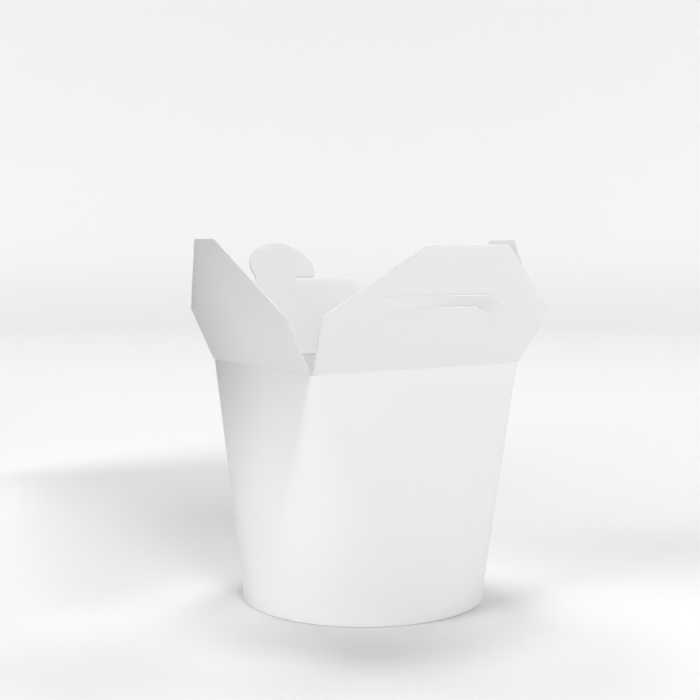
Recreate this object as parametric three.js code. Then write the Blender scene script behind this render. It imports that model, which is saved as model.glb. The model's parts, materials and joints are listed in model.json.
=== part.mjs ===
// A noodle takeaway box of folded white paperboard, standing open and empty.
// Its wall goes over from a round base to an oblong rim, where four flaps are hinged on creases.
// Millimetres, +Z up. The origin is the centre of the base, on the surface that the box stands on.
// The slotted front flap is at -Y, the tab flap at +Y, and the two side flaps are at -X and +X.

import * as THREE from 'three';
import { mergeVertices } from 'three/addons/utils/BufferGeometryUtils.js';

// Board
const BOARD = 0.6; // thickness of the paperboard
const GAP = 0.3; // clearance between pieces that touch
const SLIT = 0.5; // width of a die-cut slit
const PAPER_WHITE = 0xf1f1ef;

// Wall
const RIM_HEIGHT = 96; // level of the front and back creases
const RIM_HALF_X = 47.4; // outside of the card at the rim
const RIM_HALF_Y = 40.4;
const RIM_CORNER = 1.5; // radius of the rim's corners
const BASE_RADIUS = 49.2; // outside of the card at the foot
const FOOT_BAND = 5; // height of the upright band round the foot
const SIDE_CREASE_DROP = 0.7; // the side flaps fold under the others, so their creases lie lower
const WALL_TO_CREASE = 0.5; // the wall's card stops this far below a crease line
const FLAP_TO_CREASE = 0.4; // a flap's card starts this far beyond it
const CORNER_STEPS = 12; // facets in each rounded corner of the wall

// Foot: the wall's lower edge is turned in and up, round the skirt of the base
const HEM_HEIGHT = 4.1;
const FOOT_ROUND = 0.3;
const BASE_TOP = 5.5;
const BASE_STEPS = 4 * CORNER_STEPS;
const POCKET = BOARD + 2 * GAP; // room for the skirt between the wall and its hem

// Flaps: U runs along the crease, V runs away from it
const CORNER_CLEARANCE = 1; // a crease stops this far short of the rim's corner
const LONG_FOLD = RIM_HALF_X - CORNER_CLEARANCE; // half length of the front and back creases
const SHORT_FOLD = RIM_HALF_Y - CORNER_CLEARANCE;

const FRONT = { tilt: 33, earHalfU: 51.4, earV: 25.75, topHalfU: 18, topV: 55.5 };
const SIDE = { earHalfU: SHORT_FOLD, earV: 24, topHalfU: 8.2, topV: 54.6 };
const LEFT_TILT = 25;
const RIGHT_TILT = 26;
const BACK = {
  tilt: 34,
  shoulderHalfU: 35,
  shoulderV: 38.2,
  shoulderRound: 5,
  slitU: -4, // the slit under the tab runs from here to the tab's left side
  tabU: 1.5, // middle of the tab
  tabHalfU: 15.9,
  tabV: 44, // where the tab is widest
  tabTopV: 57,
  tabTaper: 1.2, // how far its sides run in towards the shoulders
};

// The lock in the front flap: two slits side by side, whose right ends bend down
const LOCK_SLITS = [
  { left: -30, v: 34.2, bendU: 15, cornerU: 20, endU: 28, endV: 26.4 },
  { left: -27.5, v: 28.4, bendU: 13, cornerU: 18.5, endU: 26.5, endV: 19.8 },
];
const SLIT_STEPS = 8;

const group = new THREE.Group();

function addPiece(parent, name, geometry) {
  const material = new THREE.MeshStandardMaterial({
    color: PAPER_WHITE,
    roughness: 0.55,
    metalness: 0,
  });
  const mesh = new THREE.Mesh(geometry, material);
  mesh.name = name;
  parent.add(mesh);
  return mesh;
}

// Joins equal vertices and drops the triangles that this makes empty.
function cleaned(geometry) {
  geometry.deleteAttribute('normal');
  geometry.deleteAttribute('uv');
  const merged = mergeVertices(geometry, 1e-4);
  const corners = merged.index.array;
  const kept = [];
  for (let i = 0; i < corners.length; i += 3) {
    const [a, b, c] = corners.slice(i, i + 3);
    if (a !== b && b !== c && c !== a) kept.push(a, b, c);
  }
  merged.setIndex(kept);
  return merged;
}

// The stations round the wall: the way that the card faces, and the centre of its rim corner.
// Between two corners the way is the same, so that the card there is a flat triangle,
// with its base on the crease and its point on the foot. Each corner is part of a slanted cone.
function wallStations() {
  const stations = [];
  for (let quarter = 0; quarter < 4; quarter += 1) {
    const signX = quarter === 0 || quarter === 3 ? 1 : -1;
    const signY = quarter < 2 ? 1 : -1;
    const centre = new THREE.Vector2(
      signX * (RIM_HALF_X - RIM_CORNER),
      signY * (RIM_HALF_Y - RIM_CORNER),
    );
    for (let step = 0; step <= CORNER_STEPS; step += 1) {
      const angle = (quarter + step / CORNER_STEPS) * Math.PI / 2;
      const facing = new THREE.Vector2(Math.cos(angle), Math.sin(angle));
      const endsAtLongCrease = step === (quarter % 2 === 0 ? CORNER_STEPS : 0);
      const drop = endsAtLongCrease ? 0 : SIDE_CREASE_DROP;
      stations.push({ centre, facing, top: RIM_HEIGHT - WALL_TO_CREASE - drop });
    }
  }
  return stations;
}

// A point of the wall at one station: a distance in from the outside of the card, at a height.
function wallPoint(station, inset, height) {
  const foot = station.facing.clone().multiplyScalar(BASE_RADIUS - inset);
  const rim = station.facing.clone().multiplyScalar(RIM_CORNER - inset).add(station.centre);
  const share = Math.max(0, (height - FOOT_BAND) / (RIM_HEIGHT - FOOT_BAND));
  const plan = foot.lerp(rim, share);
  return [plan.x, plan.y, height];
}

// The section of the card: down its inside, round the pocket and the hem, and up its outside.
function wallSection(top) {
  const hemOuter = BOARD + POCKET;
  const hemInner = hemOuter + BOARD;
  return [
    [0, top],
    [BOARD, top],
    [BOARD, FOOT_BAND],
    [BOARD, BOARD],
    [hemOuter, BOARD],
    [hemOuter, HEM_HEIGHT],
    [hemInner, HEM_HEIGHT],
    [hemInner, FOOT_ROUND],
    [hemInner - FOOT_ROUND, 0],
    [FOOT_ROUND, 0],
    [0, FOOT_ROUND],
    [0, FOOT_BAND],
  ];
}

function wallGeometry() {
  const stations = wallStations();
  const rows = wallSection(0).length;
  const positions = [];
  for (const station of stations) {
    for (const [inset, height] of wallSection(station.top)) {
      positions.push(...wallPoint(station, inset, height));
    }
  }
  const triangles = [];
  for (let i = 0; i < stations.length; i += 1) {
    const here = i * rows;
    const next = ((i + 1) % stations.length) * rows;
    for (let j = 0; j < rows; j += 1) {
      const up = (j + 1) % rows;
      triangles.push(here + j, next + j, next + up);
      triangles.push(here + j, next + up, here + up);
    }
  }
  const geometry = new THREE.BufferGeometry();
  geometry.setAttribute('position', new THREE.Float32BufferAttribute(positions, 3));
  geometry.setIndex(triangles);
  return cleaned(geometry);
}

// The base: a round disc with its edge turned down into the pocket of the wall.
function baseGeometry() {
  const outer = BASE_RADIUS - BOARD - GAP;
  const inner = outer - BOARD;
  const under = BASE_TOP - BOARD;
  const skirtFoot = BOARD + GAP;
  const profile = [
    new THREE.Vector2(0, under),
    new THREE.Vector2(inner, under),
    new THREE.Vector2(inner, skirtFoot),
    new THREE.Vector2(outer, skirtFoot),
    new THREE.Vector2(outer, under),
    new THREE.Vector2(inner, BASE_TOP),
    new THREE.Vector2(0, BASE_TOP),
  ];
  const geometry = new THREE.LatheGeometry(profile, BASE_STEPS);
  geometry.rotateX(Math.PI / 2);
  return cleaned(geometry);
}

// A flap's card: its outline given in U and V, with the crease line in the middle of its thickness.
function cardGeometry(shape) {
  const options = { depth: BOARD, bevelEnabled: false, curveSegments: SLIT_STEPS };
  const geometry = new THREE.ExtrudeGeometry(shape, options);
  geometry.translate(0, 0, -BOARD / 2);
  return cleaned(geometry);
}

// A six-cornered flap: up to its ears beside the crease, then cut slantwise to a narrow top edge.
function earedShape(foldHalfU, { earHalfU, earV, topHalfU, topV }) {
  const shape = new THREE.Shape();
  shape.moveTo(-foldHalfU, FLAP_TO_CREASE);
  shape.lineTo(foldHalfU, FLAP_TO_CREASE);
  shape.lineTo(earHalfU, earV);
  shape.lineTo(topHalfU, topV);
  shape.lineTo(-topHalfU, topV);
  shape.lineTo(-earHalfU, earV);
  shape.closePath();
  return shape;
}

// The outline of a slit: its middle line, set off to both sides.
function slitOutline({ left, v, bendU, cornerU, endU, endV }) {
  const bend = new THREE.QuadraticBezierCurve(
    new THREE.Vector2(bendU, v),
    new THREE.Vector2(cornerU, v),
    new THREE.Vector2(endU, endV),
  );
  const middle = [new THREE.Vector2(left, v), ...bend.getPoints(SLIT_STEPS)];
  const upper = [];
  const lower = [];
  middle.forEach((point, i) => {
    const before = middle[Math.max(i - 1, 0)];
    const after = middle[Math.min(i + 1, middle.length - 1)];
    const along = after.clone().sub(before).normalize();
    const aside = new THREE.Vector2(-along.y, along.x).multiplyScalar(SLIT / 2);
    upper.push(point.clone().add(aside));
    lower.push(point.clone().sub(aside));
  });
  return new THREE.Path([...upper, ...lower.reverse()]);
}

function frontShape() {
  const shape = earedShape(LONG_FOLD, FRONT);
  shape.holes.push(...LOCK_SLITS.map(slitOutline));
  return shape;
}

// The back flap: round shoulders, and a wide tab that a slit undercuts on its left.
function backShape() {
  const { shoulderHalfU, shoulderV, shoulderRound, slitU } = BACK;
  const { tabU, tabHalfU, tabV, tabTopV, tabTaper } = BACK;
  const side = new THREE.Vector2(shoulderHalfU - LONG_FOLD, shoulderV - FLAP_TO_CREASE);
  side.normalize();
  const turnIn = new THREE.Vector2(shoulderHalfU, shoulderV).addScaledVector(side, -shoulderRound);
  const footHalfU = tabHalfU - tabTaper;
  const shape = new THREE.Shape();
  shape.moveTo(-LONG_FOLD, FLAP_TO_CREASE);
  shape.lineTo(LONG_FOLD, FLAP_TO_CREASE);
  shape.lineTo(turnIn.x, turnIn.y);
  shape.quadraticCurveTo(shoulderHalfU, shoulderV, shoulderHalfU - shoulderRound, shoulderV);
  shape.lineTo(tabU + footHalfU, shoulderV);
  shape.lineTo(tabU + tabHalfU, tabV);
  shape.absellipse(tabU, tabV, tabHalfU, tabTopV - tabV, 0, Math.PI);
  shape.lineTo(tabU - footHalfU, shoulderV + SLIT);
  shape.lineTo(slitU, shoulderV + SLIT);
  shape.lineTo(slitU, shoulderV);
  shape.lineTo(-shoulderHalfU + shoulderRound, shoulderV);
  shape.quadraticCurveTo(-shoulderHalfU, shoulderV, -turnIn.x, turnIn.y);
  shape.closePath();
  return shape;
}

// Hangs a flap on its crease. Turn is the side of the box, counted from the front;
// tilt is how far the flap leans out from upright. Both are in degrees.
function addFlap(name, shape, turn, tilt, creaseY, creaseZ) {
  const side = new THREE.Group();
  side.rotation.z = THREE.MathUtils.degToRad(turn);
  group.add(side);
  const flap = addPiece(side, name, cardGeometry(shape));
  flap.position.set(0, -creaseY, creaseZ);
  flap.rotation.x = Math.PI / 2 + THREE.MathUtils.degToRad(tilt);
}

addPiece(group, 'wall', wallGeometry());
addPiece(group, 'base', baseGeometry());

const longCreaseY = RIM_HALF_Y - BOARD / 2;
const sideCreaseX = RIM_HALF_X - BOARD / 2;
const sideCreaseZ = RIM_HEIGHT - SIDE_CREASE_DROP;
const sideShape = earedShape(SHORT_FOLD, SIDE);
addFlap('front_flap', frontShape(), 0, FRONT.tilt, longCreaseY, RIM_HEIGHT);
addFlap('right_flap', sideShape, 90, RIGHT_TILT, sideCreaseX, sideCreaseZ);
addFlap('back_flap', backShape(), 180, BACK.tilt, longCreaseY, RIM_HEIGHT);
addFlap('left_flap', sideShape, 270, LEFT_TILT, sideCreaseX, sideCreaseZ);

export default group;
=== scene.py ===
"""A noodle takeaway box of folded white paperboard, open and empty, in soft studio light."""

import json
import math
from dataclasses import dataclass

import bmesh
import bpy
from mathutils import Matrix, Vector


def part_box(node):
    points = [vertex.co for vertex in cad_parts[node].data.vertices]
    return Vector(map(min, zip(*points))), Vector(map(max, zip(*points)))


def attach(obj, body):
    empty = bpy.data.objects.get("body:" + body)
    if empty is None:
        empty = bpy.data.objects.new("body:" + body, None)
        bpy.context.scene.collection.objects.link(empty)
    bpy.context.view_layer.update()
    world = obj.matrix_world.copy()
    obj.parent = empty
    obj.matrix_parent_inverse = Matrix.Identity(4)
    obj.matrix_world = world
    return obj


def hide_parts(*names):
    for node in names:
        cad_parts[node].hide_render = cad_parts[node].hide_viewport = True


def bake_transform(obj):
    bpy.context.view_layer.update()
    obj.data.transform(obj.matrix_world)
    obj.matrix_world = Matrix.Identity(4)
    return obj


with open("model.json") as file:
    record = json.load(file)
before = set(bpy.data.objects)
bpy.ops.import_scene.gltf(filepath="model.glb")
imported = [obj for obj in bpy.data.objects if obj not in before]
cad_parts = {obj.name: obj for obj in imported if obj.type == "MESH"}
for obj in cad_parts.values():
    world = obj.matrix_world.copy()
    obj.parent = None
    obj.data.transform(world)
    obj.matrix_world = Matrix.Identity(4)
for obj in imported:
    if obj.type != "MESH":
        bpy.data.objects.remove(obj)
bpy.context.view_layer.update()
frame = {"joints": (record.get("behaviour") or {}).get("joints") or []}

MM = 0.001

# Card and flaps
CARD = 0.6 * MM
CARD_ROUND = 0.09 * MM  # softness of a die-cut edge
EAR_ROUND = 0.8 * MM
SHOULDER_ROUND = 4.5 * MM
TAB_FOOT_ROUND = 0.3 * MM
TAB_SLIT = 0.5 * MM
SLIT = 0.1 * MM  # the lock's slits are thin cuts, and the twist of the strap opens them
STRAP_OUT = 1.0 * MM  # how far the strap between the lock slits is twisted at its right
STRAP_IN = 0.35 * MM  # and at its left, the other way
BOW = 0.25 * MM  # bulge of a flap

# Wall, foot and creases
RIM_CORNER = 1.5 * MM
FOOT_BAND = 5 * MM
HEM_HEIGHT = 4.1 * MM
HEM_FOLD = 2.4 * MM  # outside width of the turned-in hem
HEM_ROUND = 0.5 * MM
BASE_TOP = 5.5 * MM
BASE_INSET = 0.9 * MM  # from the outside of the wall to the edge of the base
BASE_ROUND = 0.7 * MM
SKIRT_FOOT = 0.9 * MM
WALL_TO_CREASE = 0.5 * MM  # the wall ends and a crease starts to bend this far below the rim
CREASE_WIDTH = 0.9 * MM

# Sizes that come from the frame
CREASES = {joint["name"]: Vector(joint["pos_m"]) for joint in frame["joints"]}
FOOT_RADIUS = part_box("wall")[1].x
LONG_LEVEL = CREASES["front_crease"].z
RIM_X = CREASES["right_crease"].x + CARD / 2  # outside of the card at the rim
RIM_Y = CREASES["back_crease"].y + CARD / 2
WALL_TOP = LONG_LEVEL - WALL_TO_CREASE
LONG_FOLD = RIM_X - 0.3 * MM  # half lengths of the creases: the side flaps fit between the long ones
SIDE_FOLD = RIM_Y - CARD - 0.2 * MM

# The camera, and the turn of the studio with it
VIEW_TURN = math.radians(-31.8)  # to the left of the front
VIEW_RISE = math.radians(5.2)
VIEW_DISTANCE = 523 * MM
VIEW_TARGET = Vector((-6.3, 0, 95.3)) * MM
LENS_PER_WIDTH = 1.8585  # focal length over the width of the sensor
VIEW_SHIFT = 0.018

# Mesh fineness
COLUMNS = 192
ROW_STEP = 5 * MM
FLAT_CUTS = 11
BASE_COLUMNS = 128
GRID_STEP = 4 * MM
CREASE_ROWS = 8
TINY = 1e-7
SMOOTH = math.radians(30)  # faces that meet at less than this look rounded
SHARP = 1.0  # and at more than this, in radians, a flat sheet has been cut

# Places of a card's materials, and as many empty ones; the slit edge's place holds the slit material,
# painted lighter as painted light
OUTSIDE, EDGE, INSIDE, PAINTED_LIGHT_SLIT_EDGE = 0, 1, 2, 3
EMPTY_SLOTS = [None] * 4


def pairs(items):
    return zip(items, items[1:])


# The colour sockets of a Mix node
MIX_FIRST, MIX_SECOND = 6, 7
MIX_COLOUR = 2


class Flow:
    """A shader socket that takes part in Python sums; every sum adds its Math node."""

    def __init__(self, tree, socket):
        self.tree = tree
        self.socket = socket

    def math(self, operation, *values):
        return self.tree.node("ShaderNodeMath", {"operation": operation}, dict(enumerate(values)))

    def __add__(self, other):
        return self.math("ADD", self, other)

    def __radd__(self, other):
        return self.math("ADD", other, self)

    def __mul__(self, other):
        return self.math("MULTIPLY", self, other)

    def __rmul__(self, other):
        return self.math("MULTIPLY", other, self)


class Finish:
    """A material whose nodes are added one at a time, each fed with values or with other nodes."""

    def __init__(self, name):
        self.material = bpy.data.materials.new(name)
        self.material.use_nodes = True
        self.nodes = self.material.node_tree.nodes
        self.links = self.material.node_tree.links
        self.shader = self.nodes["Principled BSDF"]

    def node(self, kind, settings=None, sockets=None, output=0, ramp=None):
        """Adds a node: its type, its settings or stops, then what goes into its sockets."""
        made = self.nodes.new(kind)
        for key, value in (settings or {}).items():
            setattr(made, key, value)
        if ramp:
            self.fill_ramp(made.color_ramp.elements, ramp)
        for key, value in (sockets or {}).items():
            self.feed(made.inputs[key], value)
        return Flow(self, made.outputs[output])

    def fill_ramp(self, stops, ramp):
        for _ in ramp[2:]:
            stops.new(0.5)
        for stop, (place, colour) in zip(stops, ramp):
            stop.position = place
            stop.color = colour

    def feed(self, socket, value):
        if isinstance(value, Flow):
            self.links.new(value.socket, socket)
        else:
            socket.default_value = value

    def set(self, **named):
        for key, value in named.items():
            self.feed(self.shader.inputs[key.replace("_", " ")], value)

    def place(self):
        """The point on the piece, in metres."""
        return self.node("ShaderNodeTexCoord", output="Object")

    def speckle(self, place, size, detail=3.0, rough=0.55):
        """Noise whose grains are about size across, in metres, from 0 to 1."""
        sockets = {"Vector": place, "Scale": 1 / size, "Detail": detail, "Roughness": rough}
        return self.node("ShaderNodeTexNoise", None, sockets)

    def blend_colours(self, share, first, second):
        sockets = {"Factor": share, MIX_FIRST: first, MIX_SECOND: second}
        return self.node("ShaderNodeMix", {"data_type": "RGBA"}, sockets, output=MIX_COLOUR)


def grey(value, warmth=0.0):
    """A near-white colour; warmth takes a little blue away."""
    return (value, value * (1 - 0.3 * warmth), value * (1 - warmth), 1.0)


def board_finish(name, light, roughness):
    """Bleached paperboard: a cloudy sheet of fibres under a thin, slightly shiny coating."""
    finish = Finish(name)
    place = finish.place()
    clouds = finish.speckle(place, 9 * MM, detail=4.0)
    fibres = finish.speckle(place, 0.35 * MM, detail=2.0, rough=0.7)
    shade = finish.blend_colours(clouds, grey(light * 0.985, 0.006), grey(light, 0.0))
    bump = {"Strength": 0.18, "Distance": 0.02 * MM, "Height": fibres}
    finish.set(
        Base_Color=shade,
        Roughness=fibres * 0.12 + (roughness - 0.06),
        Normal=finish.node("ShaderNodeBump", None, bump),
    )
    return finish.material


def edge_finish(name, light):
    """A cut edge of the board, where its layers show: matt and a little uneven."""
    finish = Finish(name)
    layers = finish.speckle(finish.place(), 0.15 * MM, detail=2.0)
    shade = finish.blend_colours(layers, grey(light - 0.05, 0.02), grey(light + 0.05, 0.01))
    finish.set(Base_Color=shade, Roughness=0.85)
    return finish.material


def add_object(name, data):
    made = bpy.data.objects.new(name, data)
    bpy.context.scene.collection.objects.link(made)
    return made


def as_object(bm, name, materials=()):
    """Puts a finished bmesh into the scene."""
    mesh = bpy.data.meshes.new(name)
    bm.to_mesh(mesh)
    bm.free()
    for material in materials:
        mesh.materials.append(material)
    return add_object(name, mesh)


def finish_piece(bm, node, materials):
    """Turns a finished bmesh into the card that stands for a CAD node."""
    piece = as_object(bm, node + "_card", materials)
    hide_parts(node)
    return piece


def move_new(bm, grown, step):
    """Moves the corners that an extrusion has just made."""
    moved = [part for part in grown["geom"] if isinstance(part, bmesh.types.BMVert)]
    bmesh.ops.translate(bm, verts=moved, vec=step)


def round_off(bm, parts, radius, segments, affect="EDGES"):
    bmesh.ops.bevel(
        bm,
        geom=parts,
        offset=radius,
        segments=segments,
        profile=0.5,
        affect=affect,
        material=-1,
    )


def smooth_by_angle(mesh):
    bm = bmesh.new()
    bm.from_mesh(mesh)
    for face in bm.faces:
        face.smooth = True
    for edge in bm.edges:
        edge.smooth = len(edge.link_faces) == 2 and edge.calc_face_angle(0) < SMOOTH
    bm.to_mesh(mesh)
    bm.free()


def ease(share):
    """Goes from 0 to 1 with a soft start and end."""
    share = min(max(share, 0), 1)
    return share * share * (3 - 2 * share)


# ---------------------------------------------------------------- wall


def wall_plan(facing, height):
    """Where the card's outside is, at a height, in the way that it faces.

    The foot is round and the rim is oblong. Each corner is part of a slanted cone,
    and between two corners lies a flat triangle, with its base on a crease.
    """
    centre = Vector(
        (
            math.copysign(RIM_X - RIM_CORNER, facing.x),
            math.copysign(RIM_Y - RIM_CORNER, facing.y),
        )
    )
    foot = facing * FOOT_RADIUS
    rim = centre + facing * RIM_CORNER
    share = max(0, (height - FOOT_BAND) / (LONG_LEVEL - FOOT_BAND))
    return foot.lerp(rim, share)


def wall_section(bm):
    """The card's outside from the top of the hem, round the foot and up to the rim, as one line."""
    rows = round((WALL_TOP - FOOT_BAND) / ROW_STEP)
    line = [
        (FOOT_RADIUS - HEM_FOLD, HEM_HEIGHT),
        (FOOT_RADIUS - HEM_FOLD, 0),
        (FOOT_RADIUS, 0),
        (FOOT_RADIUS, FOOT_BAND),
    ]
    line += [(FOOT_RADIUS, FOOT_BAND + (WALL_TOP - FOOT_BAND) * i / rows) for i in range(1, rows + 1)]
    verts = [bm.verts.new((x, 0, z)) for x, z in line]
    for pair in pairs(verts):
        bm.edges.new(pair)


def shape_wall(bm):
    """Draws the round tube out to the oblong rim."""
    for vert in bm.verts:
        if vert.co.z > FOOT_BAND + TINY:
            vert.co.xy = wall_plan(vert.co.xy.normalized(), vert.co.z)


def wall_tube(bm):
    """Spins the section round into a tube whose faces look out."""
    half_step = Matrix.Rotation(math.pi / COLUMNS, 3, "Z")
    bmesh.ops.rotate(bm, verts=bm.verts, cent=(0, 0, 0), matrix=half_step)
    bmesh.ops.spin(
        bm,
        geom=bm.verts[:] + bm.edges[:],
        cent=(0, 0, 0),
        axis=(0, 0, 1),
        angle=2 * math.pi,
        steps=COLUMNS,
        use_merge=True,
    )
    bmesh.ops.recalc_face_normals(bm, faces=bm.faces)
    outward = sum(face.normal.xy.dot(face.calc_center_median().xy) for face in bm.faces)
    if outward < 0:
        bmesh.ops.reverse_faces(bm, faces=bm.faces)


def is_ring(edge):
    """Whether an edge runs round the tube."""
    first, second = (vert.co.xy.length for vert in edge.verts)
    return abs(first - second) < TINY


def round_hem(bm):
    """Rounds the two folds of the hem, on the ground."""
    low = [edge for edge in bm.edges if all(abs(vert.co.z) < TINY for vert in edge.verts)]
    rings = [edge for edge in low if is_ring(edge)]
    round_off(bm, rings, HEM_ROUND, segments=5)


def crosses_flat_side(edge):
    """Whether an edge of a row runs across one of the four flat sides."""
    first, second = (vert.co for vert in edge.verts)
    level = abs(first.z - second.z) < TINY and min(first.z, second.z) > FOOT_BAND + TINY
    return level and (first.x * second.x < 0 or first.y * second.y < 0)


def box_card(bm, node, materials):
    """A sheet of the box itself: it gets its thickness inwards, with an inside and edges."""
    piece = finish_piece(bm, node, materials)
    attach(piece, "box")
    card = piece.modifiers.new("card", "SOLIDIFY")
    card.thickness = CARD
    card.offset = -1
    card.use_even_offset = True
    card.material_offset = INSIDE
    card.material_offset_rim = EDGE
    smooth_by_angle(piece.data)


def wall_piece(materials):
    bm = bmesh.new()
    wall_section(bm)
    wall_tube(bm)
    round_hem(bm)
    shape_wall(bm)
    wide = [edge for edge in bm.edges if crosses_flat_side(edge)]
    bmesh.ops.subdivide_edges(bm, edges=wide, cuts=FLAT_CUTS, use_grid_fill=True)
    box_card(bm, "wall", materials)


def base_piece(materials):
    """The base: a disc with a turned-down skirt that sits in the hem."""
    bm = bmesh.new()
    bmesh.ops.create_circle(
        bm,
        cap_ends=True,
        segments=BASE_COLUMNS,
        radius=FOOT_RADIUS - BASE_INSET,
        matrix=Matrix.Translation((0, 0, BASE_TOP)),
    )
    rim = bm.edges[:]
    skirt = bmesh.ops.extrude_edge_only(bm, edges=rim)
    move_new(bm, skirt, (0, 0, SKIRT_FOOT - BASE_TOP))
    bmesh.ops.recalc_face_normals(bm, faces=bm.faces)
    round_off(bm, rim, BASE_ROUND, segments=4)
    disc = max(bm.faces, key=lambda face: face.calc_area())
    if disc.normal.z < 0:
        bmesh.ops.reverse_faces(bm, faces=bm.faces)
    box_card(bm, "base", materials)


# ---------------------------------------------------------------- flaps


@dataclass
class Slit:
    """A cut in a flap that runs level from its left end, then bends down to its right end."""

    left: float
    level: float
    bend: float
    corner: float
    right: float
    end: float

    def line(self, steps=10):
        points = [(self.left, self.level), (self.bend, self.level)]
        for i in range(1, steps + 1):
            t = i / steps
            start, middle, end = (1 - t) ** 2, 2 * t * (1 - t), t * t
            along = start * self.bend + middle * self.corner + end * self.right
            points.append((along, (start + middle) * self.level + end * self.end))
        return points

    def level_at(self, along):
        for (u0, v0), (u1, v1) in pairs(self.line()):
            if u0 <= along <= u1:
                return v0 + (v1 - v0) * (along - u0) / (u1 - u0)
        return None


@dataclass
class Flap:
    """A flap of card. Its outline is given along and away from the crease, seen from outside."""

    body: str
    joint: str
    turn: float  # which side of the box, counted from the front
    tilt: float  # how far it leans out from upright
    rim: float  # outside of the wall at this crease
    outline: list
    rounds: list
    slits: tuple = ()

    @property
    def crease(self):
        return CREASES[self.joint]

    @property
    def start(self):
        """Where the card starts to bend, away from the line that it turns about."""
        return WALL_TOP - self.crease.z

    @property
    def lean(self):
        """How far the wall below leans in."""
        return math.atan2(FOOT_RADIUS - self.rim, LONG_LEVEL - FOOT_BAND)

    @property
    def top(self):
        return max(away for along, away in self.outline)


def with_strip(flap_outline, start):
    """Adds the crease strip below an outline whose first and last points are its fold's ends."""
    (right, _), (left, _) = flap_outline[0], flap_outline[-1]
    end = start + CREASE_WIDTH
    strip = [(left + RIM_CORNER, start), (right - RIM_CORNER, start), (right, end)]
    return strip + flap_outline[1:-1] + [(left, end)]


def flat_card(flap):
    """The flap as a flat sheet: X runs along the crease, Z away from it, outside is at -Y."""
    bm = bmesh.new()
    ring = [bm.verts.new((along, -CARD / 2, away)) for along, away in flap.outline]
    bm.faces.new(ring)
    corners = dict(zip(ring, flap.rounds))
    for radius in sorted(set(flap.rounds) - {0}):
        chosen = [vert for vert, own in corners.items() if own == radius]
        corners = {vert: own for vert, own in corners.items() if own != radius}
        round_off(bm, chosen, radius, segments=4 + round(radius / MM), affect="VERTICES")
    raise_faces(bm, (0, CARD, 0))
    for face in bm.faces:
        face.material_index = card_side(face.normal)
    soften_outline(bm, flap.start)
    return bm


def card_side(normal):
    """Which material a face of the flat sheet gets.

    An edge that looks down is a slit's, or the card's lower end, which meets the wall; it gets the slit
    edge, painted lighter as painted light in the slit.
    """
    if normal.z < -0.9:
        return PAINTED_LIGHT_SLIT_EDGE
    if abs(normal.y) < 0.9:
        return EDGE
    return INSIDE if normal.y > 0 else OUTSIDE


def raise_faces(bm, step):
    """Turns an open sheet into a closed slab."""
    move_new(bm, bmesh.ops.extrude_face_region(bm, geom=bm.faces[:]), step)
    bmesh.ops.recalc_face_normals(bm, faces=bm.faces)


def soften_outline(bm, start):
    """Rounds the cut edges a little, except where the card goes on into the wall."""
    cut_edges = [
        edge
        for edge in bm.edges
        if edge.calc_face_angle(0) > SHARP
        and abs(edge.verts[0].co.y - edge.verts[1].co.y) < TINY
        and max(vert.co.z for vert in edge.verts) > start + TINY
    ]
    round_off(bm, cut_edges, CARD_ROUND, segments=2)


def cut_rows(bm, axis, places):
    """Cuts the sheet across an axis, 0 for X and 2 for Z, at each place."""
    normal = Vector((0, 0, 0))
    normal[axis] = 1
    for place in places:
        bmesh.ops.bisect_plane(
            bm,
            geom=bm.verts[:] + bm.edges[:] + bm.faces[:],
            dist=TINY,
            plane_co=normal * place,
            plane_no=normal,
        )


def grid_card(bm, flap):
    """Cuts the sheet into a grid, with fine rows where the crease bends."""
    fine = [flap.start + CREASE_WIDTH * i / CREASE_ROWS for i in range(1, CREASE_ROWS + 1)]
    rows = int(flap.top / GRID_STEP)
    columns = int(max(along for along, away in flap.outline) / GRID_STEP)
    cut_rows(bm, 2, fine + [GRID_STEP * i for i in range(1, rows + 1)])
    cut_rows(bm, 0, [GRID_STEP * i for i in range(-columns, columns + 1)])


def slit_blade(slit):
    """A thin blade in the shape of one slit."""
    bm = bmesh.new()
    verts = [bm.verts.new((u, -CARD, v - SLIT / 2)) for u, v in slit.line()]
    edges = [bm.edges.new(pair) for pair in pairs(verts)]
    move_new(bm, bmesh.ops.extrude_edge_only(bm, edges=edges), (0, 0, SLIT))
    raise_faces(bm, (0, 2 * CARD, 0))
    # The blade's faces give the cut walls the slit edge, painted lighter as painted light in the slit
    for face in bm.faces:
        face.material_index = PAINTED_LIGHT_SLIT_EDGE
    return bm


def cut_slits(bm, slits):
    """Cuts the slits through the sheet with their blades."""
    if not slits:
        return bm
    # The cut keeps a face's place in the materials only on a mesh that has such a place
    sheet = as_object(bm, "sheet", EMPTY_SLOTS)
    blades = [as_object(slit_blade(slit), "blade", EMPTY_SLOTS) for slit in slits]
    for blade in blades:
        cut = sheet.modifiers.new("slit", "BOOLEAN")
        cut.operation = "DIFFERENCE"
        cut.solver = "EXACT"
        cut.object = blade
    bpy.context.view_layer.update()
    cut_sheet = sheet.evaluated_get(bpy.context.evaluated_depsgraph_get())
    bm = bmesh.new()
    bm.from_mesh(cut_sheet.to_mesh())
    cut_sheet.to_mesh_clear()
    for made in [sheet, *blades]:
        bpy.data.objects.remove(made)
    return bm


def strap_twist(along, away, slits):
    """How far the strap between two slits stands out: it is twisted a little about its middle.

    The flap holds it level at both ends, and the twist changes sides on the way to the right.
    """
    left_hold, right_hold = 6 * MM, 9 * MM
    change_at, change_width = -22 * MM, 34 * MM
    upper, lower = (slit.level_at(along) for slit in slits)
    if upper is None or lower is None or not lower < away < upper:
        return 0
    across = 2 * (away - lower) / (upper - lower) - 1
    left, right = slits[1].left, slits[1].right
    held = ease((along - left) / left_hold) * ease((right - along) / right_hold)
    turned = ease((along - change_at) / change_width)
    return held * across * (STRAP_OUT * turned - STRAP_IN * (1 - turned))


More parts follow.
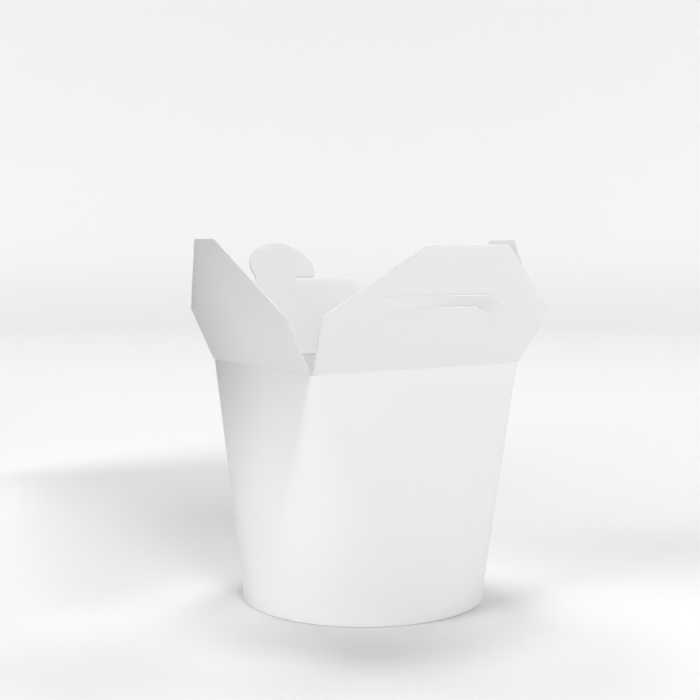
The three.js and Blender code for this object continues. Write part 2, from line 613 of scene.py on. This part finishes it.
def bend_card(bm, flap):
    """Bends the sheet at its crease: below, it follows the wall, and above, it leans out."""
    tilt = math.radians(flap.tilt)
    for vert in bm.verts:
        along, off, away = vert.co
        if flap.slits:
            off -= strap_twist(along, away, flap.slits)
        off -= BOW * math.sin(math.pi * min(max(away / flap.top, 0), 1))
        angle = -flap.lean + (tilt + flap.lean) * ease((away - flap.start) / CREASE_WIDTH)
        out = Vector((0, -math.sin(angle), math.cos(angle)))
        inward = Vector((0, math.cos(angle), math.sin(angle)))
        vert.co = Vector((along, 0, 0)) + out * away + inward * off
    place = Matrix.Translation(flap.crease) @ Matrix.Rotation(math.radians(flap.turn), 4, "Z")
    bmesh.ops.transform(bm, verts=bm.verts, matrix=place)
    bmesh.ops.recalc_face_normals(bm, faces=bm.faces)


def hinge_card(piece, flap):
    """Works out the ends of the crease between the wall and the flap, though nothing uses them, and
    bakes the piece's place into its mesh.
    """
    tilt = math.radians(flap.tilt)
    turned = Matrix.Rotation(math.radians(flap.turn), 3, "Z")
    below = Vector((0, math.sin(flap.lean), 0)) * -flap.start + Vector((0, 0, flap.start))
    above = Vector((0, -math.sin(tilt), math.cos(tilt))) * (flap.start + CREASE_WIDTH)
    start = flap.crease + turned @ below
    end = flap.crease + turned @ above
    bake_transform(piece)


def flap_piece(flap, materials):
    bm = flat_card(flap)
    grid_card(bm, flap)
    bm = cut_slits(bm, flap.slits)
    bend_card(bm, flap)
    piece = finish_piece(bm, flap.body, materials)
    smooth_by_angle(piece.data)
    hinge_card(piece, flap)


def eared_outline(fold, ear, ear_at, top_half, top):
    """Out from the fold to the ears, then cut slantwise to a narrow top edge; with its rounds."""
    right = [(fold, 0), (ear, ear_at), (top_half, top)]
    left = [(-along, away) for along, away in reversed(right)]
    return right + left, [0] + [EAR_ROUND] * 4 + [0]


def tab_outline(steps=24):
    """Round shoulders, and a wide round tab that a slit undercuts on its left; with its rounds."""
    shoulder, shoulder_at = 35 * MM, 38.2 * MM
    tab, tab_half, tab_foot = 1.5 * MM, 15.9 * MM, 14.7 * MM
    tab_at, tab_top = 44 * MM, 57 * MM
    slit = -4 * MM
    right = [(LONG_FOLD, 0), (shoulder, shoulder_at), (tab + tab_foot, shoulder_at)]
    arc = [math.pi * i / steps for i in range(steps + 1)]
    dome = [(tab + tab_half * math.cos(a), tab_at + (tab_top - tab_at) * math.sin(a)) for a in arc]
    left = [
        (tab - tab_foot, shoulder_at + TAB_SLIT),
        (slit, shoulder_at + TAB_SLIT),
        (slit, shoulder_at),
        (-shoulder, shoulder_at),
        (-LONG_FOLD, 0),
    ]
    rounds = [0, SHOULDER_ROUND, 0] + [0] * len(dome) + [TAB_FOOT_ROUND, 0, 0, SHOULDER_ROUND, 0]
    return right + dome + left, rounds


def make_flap(side, turn, tilt, rim, shape, slits=()):
    outline, rounds = shape
    joint = side + "_crease"
    outline = with_strip(outline, WALL_TOP - CREASES[joint].z)
    return Flap(side + "_flap", joint, turn, tilt, rim, outline, [0, 0] + rounds, slits)


def box_flaps():
    front = eared_outline(
        LONG_FOLD, ear=51.4 * MM, ear_at=25.75 * MM, top_half=18 * MM, top=55.5 * MM
    )
    side = eared_outline(
        SIDE_FOLD, ear=39.4 * MM, ear_at=24 * MM, top_half=8.2 * MM, top=54.6 * MM
    )
    upper = Slit(
        left=-30 * MM, level=34.2 * MM, bend=15 * MM, corner=20 * MM, right=28 * MM, end=26.4 * MM
    )
    lower = Slit(
        left=-27.5 * MM, level=28.4 * MM, bend=13 * MM, corner=18.5 * MM, right=26.5 * MM, end=19.8 * MM
    )
    return [
        make_flap("front", turn=0, tilt=33, rim=RIM_Y, shape=front, slits=(upper, lower)),
        make_flap("right", turn=90, tilt=26, rim=RIM_X, shape=side),
        make_flap("back", turn=180, tilt=34, rim=RIM_Y, shape=tab_outline()),
        make_flap("left", turn=270, tilt=25, rim=RIM_X, shape=side),
    ]


# ---------------------------------------------------------------- studio


def floor_section(steps=24):
    """The floor from its front edge, round the sweep and up the backdrop, as (depth, height)."""
    front, back, bend, top = 2.5, 3.4, 1.6, 3.5  # metres
    line = [(-front, 0), (back - bend, 0)]
    for step in range(1, steps + 1):
        angle = math.pi / 2 * step / steps
        line.append((back - bend + bend * math.sin(angle), bend - bend * math.cos(angle)))
    return line + [(back, top)]


def floor_paint():
    """Pale paint, a little lighter beside the box and up the backdrop, where less light falls."""
    paint = Finish("studio_paint")
    tones = [(0.15, 0.67), (0.5, 0.63), (1.8, 0.65), (2.6, 0.73), (3.6, 0.83)]  # (metres, lightness)
    reach = 5.0  # metres along the whole ramp
    away = paint.node("ShaderNodeVectorMath", {"operation": "LENGTH"}, {0: paint.place()}, "Value")
    ramp = [(metres / reach, grey(tone, 0.004)) for metres, tone in tones]
    shade = paint.node("ShaderNodeValToRGB", None, {"Fac": away * (1 / reach)}, "Color", ramp)
    paint.set(Base_Color=shade, Roughness=0.9, Specular_IOR_Level=0.1)
    return paint.material


def studio_floor():
    """A pale floor that sweeps up into a backdrop behind the box."""
    half = 4.0  # metres to each side
    bm = bmesh.new()
    verts = [bm.verts.new((-half, depth, height)) for depth, height in floor_section()]
    edges = [bm.edges.new(pair) for pair in pairs(verts)]
    move_new(bm, bmesh.ops.extrude_edge_only(bm, edges=edges), (2 * half, 0, 0))
    bmesh.ops.recalc_face_normals(bm, faces=bm.faces)
    turned = Matrix.Rotation(VIEW_TURN, 3, "Z")
    bmesh.ops.rotate(bm, verts=bm.verts, cent=(0, 0, 0), matrix=turned)
    for face in bm.faces:
        face.smooth = True
    as_object(bm, "studio_floor", [floor_paint()])


def toward(turn, rise):
    """The way to a lamp or camera that stands at this turn and rise."""
    return Vector((math.sin(turn) * math.cos(rise), -math.cos(turn) * math.cos(rise), math.sin(rise)))


def soft_light(name, turn, rise, strength, spread):
    """A far, wide lamp. Turn is counted from the camera, to its right; angles are in degrees."""
    lamp = bpy.data.lights.new(name, "SUN")
    lamp.energy = math.pi * strength
    lamp.angle = math.radians(spread)
    back = toward(VIEW_TURN + math.radians(turn), math.radians(rise))
    add_object(name, lamp).rotation_euler = back.to_track_quat("Z", "Y").to_euler()


def studio_flag(name, near, far, low, high):
    """A dark card beside the box, hidden from the camera, that only keeps light off.

    Its ends are given as metres to the right and to the camera, and its edges as heights.
    """
    across = toward(VIEW_TURN + math.pi / 2, 0)
    along = toward(VIEW_TURN, 0)
    bm = bmesh.new()
    corners = [(near, low), (far, low), (far, high), (near, high)]
    places = [across * side + along * depth + Vector((0, 0, z)) for (side, depth), z in corners]
    bm.faces.new([bm.verts.new(place) for place in places])
    paint = Finish(name)
    paint.set(Base_Color=grey(0.05), Roughness=1.0, Specular_IOR_Level=0.0)
    flag = as_object(bm, name, [paint.material])
    flag.visible_camera = False


def studio_world(colour, strength):
    world = bpy.data.worlds.new("studio_air")
    world.use_nodes = True
    air = world.node_tree.nodes["Background"]
    air.inputs["Color"].default_value = colour
    air.inputs["Strength"].default_value = strength
    bpy.context.scene.world = world


def studio_camera():
    back = toward(VIEW_TURN, VIEW_RISE)
    lens = bpy.data.cameras.new("studio_camera")
    lens.lens = lens.sensor_width * LENS_PER_WIDTH
    lens.shift_y = VIEW_SHIFT
    lens.clip_start = 0.01
    lens.clip_end = 20
    camera = add_object("studio_camera", lens)
    camera.location = VIEW_TARGET + back * VIEW_DISTANCE
    camera.rotation_euler = back.to_track_quat("Z", "Y").to_euler()
    bpy.context.scene.camera = camera


def studio():
    studio_floor()
    # One keeps light off the far left of the wall, and one off the flaps
    studio_flag("wall_flag", near=(-0.165, 0.06), far=(-0.27, -0.25), low=0.05, high=0.27)
    studio_flag("flap_flag", near=(-0.164, 0.196), far=(-0.244, 0.069), low=0.275, high=0.4)
    studio_world((0.985, 1.0, 0.99, 1), strength=0.01)
    soft_light("front_light", turn=20, rise=25, strength=0.32, spread=30)
    soft_light("high_front_light", turn=25, rise=45, strength=0.17, spread=20)
    soft_light("left_light", turn=-60, rise=36, strength=0.61, spread=30)
    soft_light("right_light", turn=90, rise=8, strength=0.27, spread=35)
    soft_light("back_left_light", turn=-150, rise=55, strength=0.31, spread=24)
    soft_light("back_right_light", turn=150, rise=55, strength=0.27, spread=24)
    soft_light("top_light", turn=180, rise=80, strength=0.28, spread=14)
    studio_camera()
    bpy.context.scene.view_settings.view_transform = "Standard"


white_board = board_finish("white_board", 0.825, 0.5)
base_board = board_finish("base_board", 0.79, 0.6)
# The flaps' insides: a smoother coated board, painted a little darker than the outside as painted shade
coated_board_painted_shade = board_finish("coated_board_painted_shade", 0.8, 0.42)
# The inside of the wall and base: painted lighter than the outside, as painted light in the shaded
# inside of the box
box_inside_painted_light = board_finish("box_inside_painted_light", 0.87, 0.42)
cut_edge = edge_finish("cut_edge", 0.76)
# The slits' cut walls: painted lighter than the other cut edges, as painted light in the slits
slit_edge_painted_light = edge_finish("slit_edge_painted_light", 0.92)
wall_piece([white_board, cut_edge, box_inside_painted_light])
base_piece([base_board, cut_edge, box_inside_painted_light])
for flap in box_flaps():
    flap_piece(flap, [white_board, cut_edge, coated_board_painted_shade, slit_edge_painted_light])
studio()
